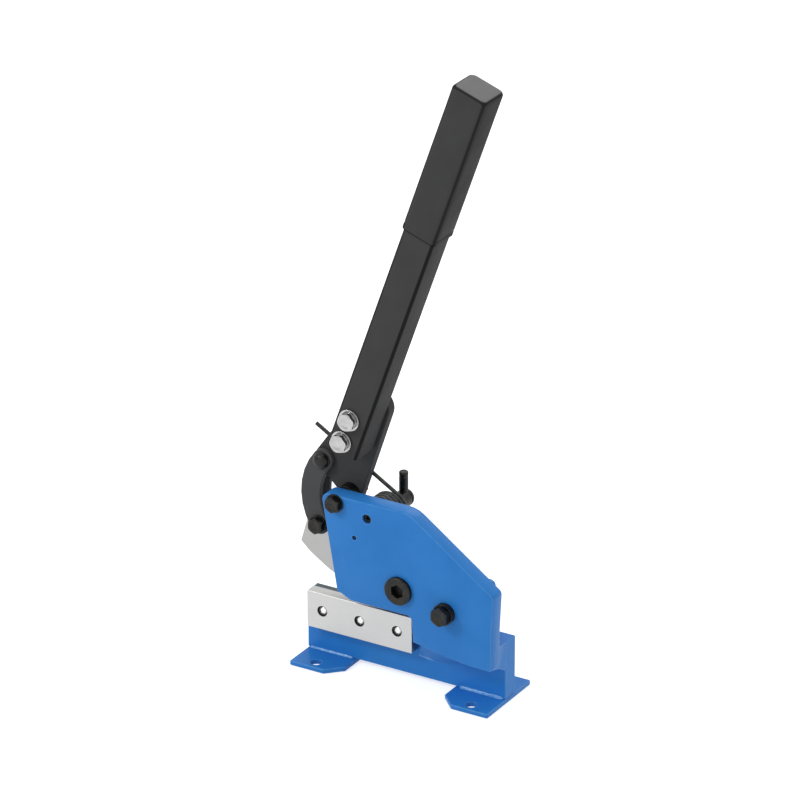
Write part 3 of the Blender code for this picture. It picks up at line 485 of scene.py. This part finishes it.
def dress_node(name):
    """Give a solid its finish, smooth rounds and a fine rounded edge."""
    node = frame["nodes"][name]
    stem = max((key for key in NODE_FINISHES if name.startswith(key)), key=len)
    for slot in node.material_slots:
        slot.material = FINISHES[NODE_FINISHES[stem]]
    stored = node.data.attributes.get("custom_normal")
    if stored:
        node.data.attributes.remove(stored)
    node.data.shade_smooth()
    join = node.modifiers.new("join", "WELD")
    join.merge_threshold = 0.00001
    flats = node.modifiers.new("flats", "DECIMATE")
    flats.decimate_type = "DISSOLVE"
    flats.angle_limit = radians(0.6)
    edge = node.modifiers.new("edge", "BEVEL")
    edge.width = EDGE_WIDTHS.get(name, WASHER_EDGE)
    edge.segments = 2
    edge.limit_method = "ANGLE"
    edge.angle_limit = SMOOTH_ANGLE
    edge.harden_normals = True


def make_piece(name, data, finish):
    """Make a smooth piece of mesh data with its finish."""
    bmesh.ops.recalc_face_normals(data, faces=data.faces)
    mesh = bpy.data.meshes.new(name)
    data.to_mesh(mesh)
    data.free()
    mesh.shade_smooth()
    mesh.set_sharp_from_angle(angle=SMOOTH_ANGLE)
    mesh.materials.append(FINISHES[finish])
    piece = bpy.data.objects.new(name, mesh)
    bpy.context.scene.collection.objects.link(piece)
    return piece


def stand_for(name, data, finish, node):
    """Make a piece that stands for a node."""
    piece = make_piece(name, data, finish)
    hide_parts(node)
    return piece


def loft(rings, wrap=False):
    """Mesh data through rings of points, capped at both ends or joined to itself."""
    data = bmesh.new()
    rows = [[data.verts.new(point) for point in ring] for ring in rings]
    pairs = list(zip(rows, rows[1:])) + ([(rows[-1], rows[0])] if wrap else [])
    for low, high in pairs:
        for i in range(len(low)):
            data.faces.new((low[i - 1], low[i], high[i], high[i - 1]))
    if not wrap:
        data.faces.new(rows[0])
        data.faces.new(rows[-1])
    return data


def depthwise(spot):
    """Frame on a point whose local Z runs to the back."""
    return Matrix.Translation((spot.x, 0, spot.z)) @ Matrix.Rotation(-pi / 2, 4, "X")


def turned(axis, stations):
    """Rings round an axis. A station gives radius and height, or works them out from the angle."""
    rings = []
    for station in stations:
        ring = []
        for i in range(ROUND_SIDES):
            angle = 2 * pi * i / ROUND_SIDES
            radius, height = station(angle) if callable(station) else station
            ring.append(axis @ Vector((radius * cos(angle), radius * sin(angle), height)))
        rings.append(ring)
    return rings


def hex_radius(flats, turn, most=1.16):
    """Distance from the axis to a hexagon's side, by angle, with the corners turned down."""

    def side(angle):
        off_middle = (angle - turn - radians(30)) % radians(60) - radians(30)
        return flats / 2 * min(most, 1 / cos(off_middle))

    return side


def crown(flats, side, face, inward):
    """Edge where a hexagon's sides meet the cone that rounds off its corners."""
    start = flats / 2 * FACE_SHARE
    return lambda angle: (side(angle), face + inward * (side(angle) - start) * CONE_SLOPE)


def hex_head(face, seat, flats, side):
    """Stations of a hexagon head from its dished face, over the crown, to its round seat."""
    inward = 1 if seat > face else -1
    dish = inward * abs(seat - face) * 0.09
    rim = flats / 2 * FACE_SHARE
    collar = flats / 2 * SEAT_SHARE
    foot = inward * 0.0004
    return [
        (rim * 0.05, face + dish),
        (rim * 0.62, face + dish),
        (rim * 0.74, face),
        (rim, face),
        crown(flats, side, face, inward),
        lambda angle: (side(angle), seat - foot),
        (collar, seat - foot),
        (collar, seat),
    ]


def thread(radius, start, end, pitch=0.00125):
    """Stations of a screw thread that runs out in a chamfer."""
    stations_a_turn = 8
    steps = ceil(abs(end - start) / pitch * stations_a_turn)
    depth = pitch * 0.54
    chamfer = depth * 1.3
    away = 1 if end > start else -1

    def station(i):
        height = start + (end - start) * i / steps
        left = abs(end - height)
        most = radius - max(0, chamfer - left)

        def place(angle):
            turn = (height / pitch - angle / (2 * pi)) % 1
            return min(most, radius - depth * (1 - abs(2 * turn - 1))), height

        return place

    lead = [(radius, start - away * pitch * 0.4)]
    return lead + [station(i) for i in range(steps + 1)] + [(radius * 0.12, end)]


def make_bolt(node, flats, shaft, head, finish, side=None, threaded=0.006, from_back=False):
    """Hexagon bolt with a dished head and a cut thread, in place of its plain solid."""
    low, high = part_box(node)
    middle = (low + high) / 2
    face, tip = (high.y, low.y) if from_back else (low.y, high.y)
    inward = -1 if from_back else 1
    seat = face + inward * head
    stations = hex_head(face, seat, flats, side or hex_radius(flats, 0))
    stations.append((shaft, seat))
    stations += thread(shaft, tip - inward * threaded, tip)
    data = loft(turned(depthwise(middle), stations))
    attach(stand_for(node + "_cut", data, finish, node), body_of_node(node))


def make_nut(node, flats, shaft, finish, side=None):
    """Hexagon nut crowned on both faces, with a countersunk bore."""
    low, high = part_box(node)
    middle = (low + high) / 2
    side = side or hex_radius(flats, 0)
    bore, sink = shaft + FIT_GAP, 0.0007
    rim = flats / 2 * FACE_SHARE
    stations = [
        (bore, low.y + sink),
        (bore + sink, low.y),
        (rim, low.y),
        crown(flats, side, low.y, 1),
        lambda angle: (side(angle), middle.y),
        crown(flats, side, high.y, -1),
        (rim, high.y),
        (bore + sink, high.y),
        (bore, high.y - sink),
    ]
    data = loft(turned(depthwise(middle), stations), wrap=True)
    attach(stand_for(node + "_cut", data, finish, node), body_of_node(node))


def make_pivot_bolt():
    """Socket-head pivot bolt with a rounded rim and a deep hexagon socket."""
    low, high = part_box("pivot_bolt")
    face, seat, rim, shaft = low.y, low.y + 0.0050, 0.0158, 0.0100
    socket = hex_radius(0.0140, 0)
    deep = face + 0.0085
    stations = [
        (0.0006, deep + 0.0005),
        (0.0050, deep),
        lambda angle: (socket(angle) - 0.0001, deep),
        lambda angle: (socket(angle), face + 0.0007),
        lambda angle: (socket(angle) + 0.0006, face + 0.0001),
        (0.0104, face),
        (rim - 0.0016, face),
        (rim - 0.0007, face + 0.0003),
        (rim - 0.0001, face + 0.0010),
        (rim, face + 0.0018),
        (rim, seat - 0.0005),
        (rim - 0.0004, seat),
        (shaft, seat),
    ]
    stations += thread(shaft, high.y - 0.0150, high.y, 0.0015)
    data = loft(turned(depthwise(MAIN_PIVOT), stations))
    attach(stand_for("pivot_bolt_cut", data, "black_oxide", "pivot_bolt"), "frame")


def make_blade_screws():
    """Screws from behind, whose chamfered ends show in sunk holes lined with black rings of
    painted shade.
    """
    for place in ("left", "middle", "right"):
        node = "blade_screw_" + place
        make_bolt(node, 0.0130, 0.0040, 0.0053, "zinc", threaded=0.0001, from_back=True)
        low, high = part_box(node)
        middle = (low + high) / 2
        # A black ring round each screw's end stands for the shade in the sunk hole
        floor = low.y - FIT_GAP - 0.00005
        stations = [
            (0.00425, floor),
            (0.00610, floor),
            (0.00612, floor - 0.00135),
            (0.00615, floor - 0.00145),
            (0.00618, floor - 0.00135),
            (0.00618, floor + 0.00004),
            (0.00425, floor + 0.00004),
        ]
        data = loft(turned(depthwise(middle), stations), wrap=True)
        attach(make_piece(node + "_shade_ring", data, "black_oxide"), "frame")


def make_link_pin():
    """Pin with a domed head and a turned groove over its rim."""
    low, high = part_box("link_top_pin")
    middle = (low + high) / 2
    rim = (high.x - low.x) / 2
    dome, groove = rim * 0.97, rim * 0.93
    face, shaft = low.y, 0.0050
    seat = face + 0.0085
    stations = [(0.0002, face)]
    rise, steps = 0.0058, 9
    for i in range(1, steps + 1):
        angle = pi / 2 * i / steps
        stations.append((dome * sin(angle), face + rise * (1 - cos(angle))))
    stations += [
        (dome, face + 0.0066),
        (groove, face + 0.0069),
        (groove, face + 0.0072),
        (rim, face + 0.0075),
        (rim, seat - 0.0003),
        (rim - 0.0003, seat),
        (shaft, seat),
        (shaft, high.y - 0.0006),
        (shaft - 0.0006, high.y),
        (0.0006, high.y),
    ]
    data = loft(turned(depthwise(middle), stations))
    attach(stand_for("link_top_pin_turned", data, "black_oxide", "link_top_pin"), "links")


def make_axle():
    """Spring axle with a grooved end, and the stud that stands in it."""
    low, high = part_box("spring_axle")
    radius, front, back = 0.0100, low.y, high.y
    stations = [
        (0.0006, front),
        (radius - 0.0010, front),
        (radius, front + 0.0010),
        (radius, back - 0.0062),
        (radius - 0.0008, back - 0.0058),
        (radius - 0.0008, back - 0.0046),
        (radius, back - 0.0042),
        (radius, back - 0.0016),
        (radius - 0.0005, back - 0.0006),
        (radius - 0.0014, back),
        (radius * 0.34, back),
        (radius * 0.26, back - 0.0012),
        (0.0006, back - 0.0016),
    ]
    data = loft(turned(depthwise(SPRING_AXLE), stations))
    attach(stand_for("spring_axle_turned", data, "black_oxide", "spring_axle"), "frame")
    low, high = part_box("spring_stud")
    middle = (low + high) / 2
    radius, top = (high.x - low.x) / 2, high.z
    upright = Matrix.Translation((middle.x, middle.y, 0))
    stations = [
        (0.0004, top - 0.0002),
        (radius * 0.55, top),
        (radius - 0.0008, top),
        (radius - 0.0002, top - 0.0004),
        (radius, top - 0.0010),
        (radius, top - 0.0042),
        (radius - 0.00035, top - 0.0046),
        (radius - 0.00035, top - 0.0056),
        (radius, top - 0.0060),
        (radius, low.z),
        (0.0004, low.z),
    ]
    data = loft(turned(upright, stations))
    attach(stand_for("spring_stud_turned", data, "black_oxide", "spring_stud"), "frame")


def make_catch_pin():
    """Pin with a collar that keeps the spring's leg on it."""
    low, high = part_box("catch_pin")
    middle = (low + high) / 2
    collar, shaft = (high.x - low.x) / 2, 0.0040
    stations = [
        (0.0004, low.y),
        (shaft - 0.0004, low.y),
        (shaft, low.y + 0.0004),
        (shaft, high.y - 0.0020),
        (collar - 0.0003, high.y - 0.0020),
        (collar, high.y - 0.0017),
        (collar, high.y - 0.0005),
        (collar - 0.0006, high.y),
        (0.0004, high.y),
    ]
    data = loft(turned(depthwise(middle), stations))
    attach(stand_for("catch_pin_turned", data, "black_oxide", "catch_pin"), "lever")


def rounded_square(axis, middle, half, corner, height, steps=8):
    """Ring of a rounded square about a point, at one height along the arm."""
    ring = []
    for k, (a, b) in enumerate(((1, 1), (-1, 1), (-1, -1), (1, -1))):
        for i in range(steps + 1):
            angle = pi / 2 * (k + i / steps)
            x = middle[0] + a * (half - corner) + corner * cos(angle)
            y = middle[1] + b * (half - corner) + corner * sin(angle)
            ring.append(axis @ Vector((x, y, height)))
    return ring


def make_hand_grip():
    """Moulded sleeve with soft corners, a rolled lower lip and a flat top with rounded edges."""
    axis = Matrix.Translation(MAIN_PIVOT) @ Matrix.Rotation(LEVER_TILT, 4, "Y")
    middle = (-0.1129, 0.0133)
    half, corner, tube = 0.0213, 0.0068, 0.0190
    bottom, top, tube_top = GRIP_BOTTOM, 0.5750, 0.5700
    lip, edge = 0.0082, 0.0042
    inside = (tube + FIT_GAP, 0.0047)
    shape = [
        (*inside, tube_top + FIT_GAP),
        (*inside, bottom + 0.0010),
        (tube + 0.0006, 0.0050, bottom + 0.0001),
        (half - 0.0008, 0.0060, bottom),
        (half - 0.0002, 0.0063, bottom + 0.0006),
        (half, corner, bottom + 0.0016),
        (half, corner, bottom + 0.0052),
        (half - 0.0004, corner, bottom + 0.0062),
        (half - 0.0004, corner, bottom + 0.0072),
        (half - 0.0001, corner, bottom + lip),
    ]
    steps = 6
    for i in range(1, steps):
        height = bottom + lip + (top - edge - bottom - lip) * i / steps
        shape.append((half - 0.0001 * abs(2 * i / steps - 1), corner, height))
    for i in range(steps + 1):
        angle = pi / 2 * i / steps
        inset = edge * (1 - cos(angle))
        shape.append((half - inset, corner - inset * 0.6, top - edge * (1 - sin(angle))))
    shape.append((half * 0.5, 0.0040, top))
    rings = [rounded_square(axis, middle, h, c, s) for h, c, s in shape]
    piece = stand_for("hand_grip_sleeve", loft(rings), "grip_rubber", "hand_grip")
    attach(piece, "lever")


def make_weld_bead(node, wall_y, away, fullness, lump):
    """Hollow fillet bead, at a share of the solid's leg, with leaning waves and lumps.

    It lies along X in the corner of a wall and a foot, on the side of the wall that away names.
    """
    step, wave, lumps_a_metre, arc = 0.0006, 0.0032, 110, 8
    low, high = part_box(node)
    length = high.x - low.x
    leg = high.z - low.z
    count = ceil(length / step)
    rings = []
    for i in range(count + 1):
        share = i / count
        x = low.x + length * share
        from_end = min(share, 1 - share)
        taper = sin(pi * from_end * 9) if from_end < 1 / 18 else 1
        bump = lump * noise.noise((x * lumps_a_metre, wall_y, 3))
        ripple = 0.96 + 0.02 * cos(2 * pi * x / wave) + bump
        size = leg * fullness * min(1, ripple) * (0.35 + 0.65 * taper)
        ring = [Vector((x, wall_y - away * 0.0006, low.z - 0.0001))]
        for k in range(arc + 1):
            angle = pi / 2 * k / arc
            lean = min(x + 0.0005 * sin(2 * angle), high.x)
            reach = size * (cos(angle) + sin(angle) - 0.92 * sqrt(sin(2 * angle)))
            out, up = away * reach * cos(angle), reach * sin(angle)
            ring.append(Vector((lean, wall_y + out, low.z + up)))
        rings.append(ring)
    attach(stand_for(node + "_rippled", loft(rings), "bead_paint", node), "frame")


def spring_line():
    """Centre line of the spring: short tail, coil and long leg."""
    wire, coil, front, back, turns = SPRING_WIRE, 0.0183, 0.0240, 0.0480, 4
    leg_angle, leg_length, tail_length = radians(149.3), 0.1190, 0.0160
    pin_radius, points_a_turn, tail_steps, leg_steps = 0.0040, 40, 5, 24
    reach = ANCHOR_PIN - SPRING_AXLE
    bearing = coil + wire + pin_radius + FIT_GAP
    first = atan2(reach.z, reach.x) + acos(bearing / hypot(reach.x, reach.z))
    sweep = (leg_angle - pi / 2 - first) % (2 * pi) + 2 * pi * turns
    count = ceil(sweep / (2 * pi) * points_a_turn)
    line = []
    for i in range(count + 1):
        angle = first + sweep * i / count
        share = i / count
        eased = share + 0.012 * sin(2 * pi * share)
        depth = front + (back - front) * min(1, max(0, eased))
        line.append(SPRING_AXLE + Vector((coil * cos(angle), depth, coil * sin(angle))))
    way = Vector((sin(first), 0, -cos(first)))
    tail = [line[0] + way * tail_length * k / tail_steps for k in range(tail_steps, 0, -1)]
    way = Vector((cos(leg_angle), 0, sin(leg_angle)))
    leg = [line[-1] + way * leg_length * k / leg_steps for k in range(1, leg_steps + 1)]
    return tail + line + leg


def make_spring():
    """Torsion spring as one fine round wire with rubbed cut ends."""
    line = spring_line()
    wire, sides, rub, last = SPRING_WIRE + SPRING_SWELL, 20, 0.0004, len(line) - 1
    cut = wire * 0.82
    across = Vector((0, 1, 0))
    rings = []
    for i, spot in enumerate(line):
        way = (line[min(i + 1, last)] - line[max(i - 1, 0)]).normalized()
        side = (across - way * across.dot(way)).normalized()
        up = way.cross(side)
        stations = {0: [(0, cut), (rub, wire)], last: [(-rub, wire), (0, cut)]}
        for ahead, radius in stations.get(i, [(0, wire)]):
            ring = []
            for j in range(sides):
                angle = 2 * pi * j / sides
                ring.append(spot + way * ahead + (side * cos(angle) + up * sin(angle)) * radius)
            rings.append(ring)
    piece = stand_for("torsion_spring_wire", loft(rings), "spring_steel", "torsion_spring")
    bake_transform(piece)


def make_fasteners():
    """Bolts and nuts in place of their plain solids."""
    make_pivot_bolt()
    make_nut("pivot_nut", 0.0316, 0.0100, "black_oxide")
    make_bolt("fulcrum_bolt", 0.0160, 0.0050, 0.0062, "black_oxide")
    make_nut("fulcrum_nut", 0.0160, 0.0050, "black_oxide")
    make_bolt("clamp_bolt", 0.0190, 0.0060, 0.0076, "black_oxide")
    make_nut("clamp_nut", 0.0190, 0.0060, "black_oxide")
    make_bolt("link_bottom_bolt", 0.0160, 0.0050, 0.0064, "black_oxide")
    make_nut("link_bottom_nut", 0.0160, 0.0050, "black_oxide")
    worn = hex_radius(0.0185, LEVER_TILT, 1.07)
    for place in ("upper", "lower"):
        make_bolt("arm_" + place + "_bolt", 0.0185, 0.0060, 0.0070, "chrome", worn)
        make_nut("arm_" + place + "_nut", 0.0185, 0.0060, "chrome", worn)


def make_floor():
    """Pale floor that keeps the shadow and looks white to the camera."""
    size, below = 30.0, -0.0003
    corners = [(-size, -size), (size, -size), (size, size), (-size, size)]
    mesh = bpy.data.meshes.new("floor")
    mesh.from_pydata([(x, y, below) for x, y in corners], [], [(0, 1, 2, 3)])
    floor = bpy.data.objects.new("floor", mesh)
    bpy.context.scene.collection.objects.link(floor)
    pale = Finish("floor", emission_strength=1.0)
    pale.feed(pale.shader["Specular IOR Level"], 0.0)
    grain = pale.over(pale.grain(3, 2), 0.2, 0.8)
    paint = pale.blend(grain, (0.78, 0.78, 0.78), (0.80, 0.80, 0.80))
    glow = pale.blend(pale.camera_sees(), (0, 0, 0), (0.66, 0.66, 0.66))
    pale.feed(pale.shader["Base Color"], paint)
    pale.feed(pale.shader["Emission Color"], glow)
    mesh.materials.append(pale.material)


def make_room():
    """White world that lights softly and looks white to the camera."""
    world = bpy.data.worlds.new("white_room")
    bpy.context.scene.world = world
    world.use_nodes = True
    room = Nodes(world.node_tree)
    sky = world.node_tree.nodes["Background"].inputs
    sky["Color"].default_value = (1, 1, 1, 1)
    room.feed(sky["Strength"], 0.64 + room.camera_sees() * 0.36)


def make_lamp(name, spot, aim, size, watts):
    """Square soft box that points at a spot."""
    lamp = bpy.data.lights.new(name, "AREA")
    lamp.shape = "SQUARE"
    lamp.size = size
    lamp.energy = watts
    holder = bpy.data.objects.new(name, lamp)
    bpy.context.scene.collection.objects.link(holder)
    holder.location = spot
    holder.rotation_euler = (Vector(aim) - Vector(spot)).to_track_quat("-Z", "Y").to_euler()


def make_lamps():
    centre = (0.02, 0.0, 0.30)
    make_lamp("key_box", (-1.3, -1.8, 1.9), centre, 0.6, 18)
    make_lamp("top_box", (0.3, 0.3, 2.4), centre, 1.2, 3)
    make_lamp("back_box", (-0.2, 1.8, 1.7), centre, 1.0, 9)


def make_camera():
    """Camera fitted to the photograph."""
    target = MAIN_PIVOT + Vector((0.0012, 0, 0.2207))
    azimuth, elevation, distance = radians(30.75), radians(24.5), 5.8594
    flat = cos(elevation)
    back = Vector((sin(azimuth) * flat, -cos(azimuth) * flat, sin(elevation)))
    data = bpy.data.cameras.new("photo_camera")
    data.lens = 254.2
    data.sensor_width = 36.0
    camera = bpy.data.objects.new("photo_camera", data)
    bpy.context.scene.collection.objects.link(camera)
    camera.location = target + back * distance
    camera.rotation_euler = (-back).to_track_quat("-Z", "Y").to_euler()
    bpy.context.scene.camera = camera


def make_shear():
    make_fasteners()
    make_blade_screws()
    make_link_pin()
    make_axle()
    make_catch_pin()
    make_hand_grip()
    walls = (("front", BAR_FRONT - FIT_GAP, -1), ("rear", BAR_BACK + FIT_GAP, 1))
    for foot, fullness, lump in (("left", 0.40, 0.05), ("right", 0.52, 0.35)):
        for side, wall_y, away in walls:
            make_weld_bead("weld_bead_" + foot + "_" + side, wall_y, away, fullness, lump)
    make_spring()
    for name, node in frame["nodes"].items():
        if not node.hide_render:
            dress_node(name)


make_camera()
make_floor()
make_room()
make_lamps()
make_shear()
bpy.context.scene.view_settings.view_transform = "Standard"
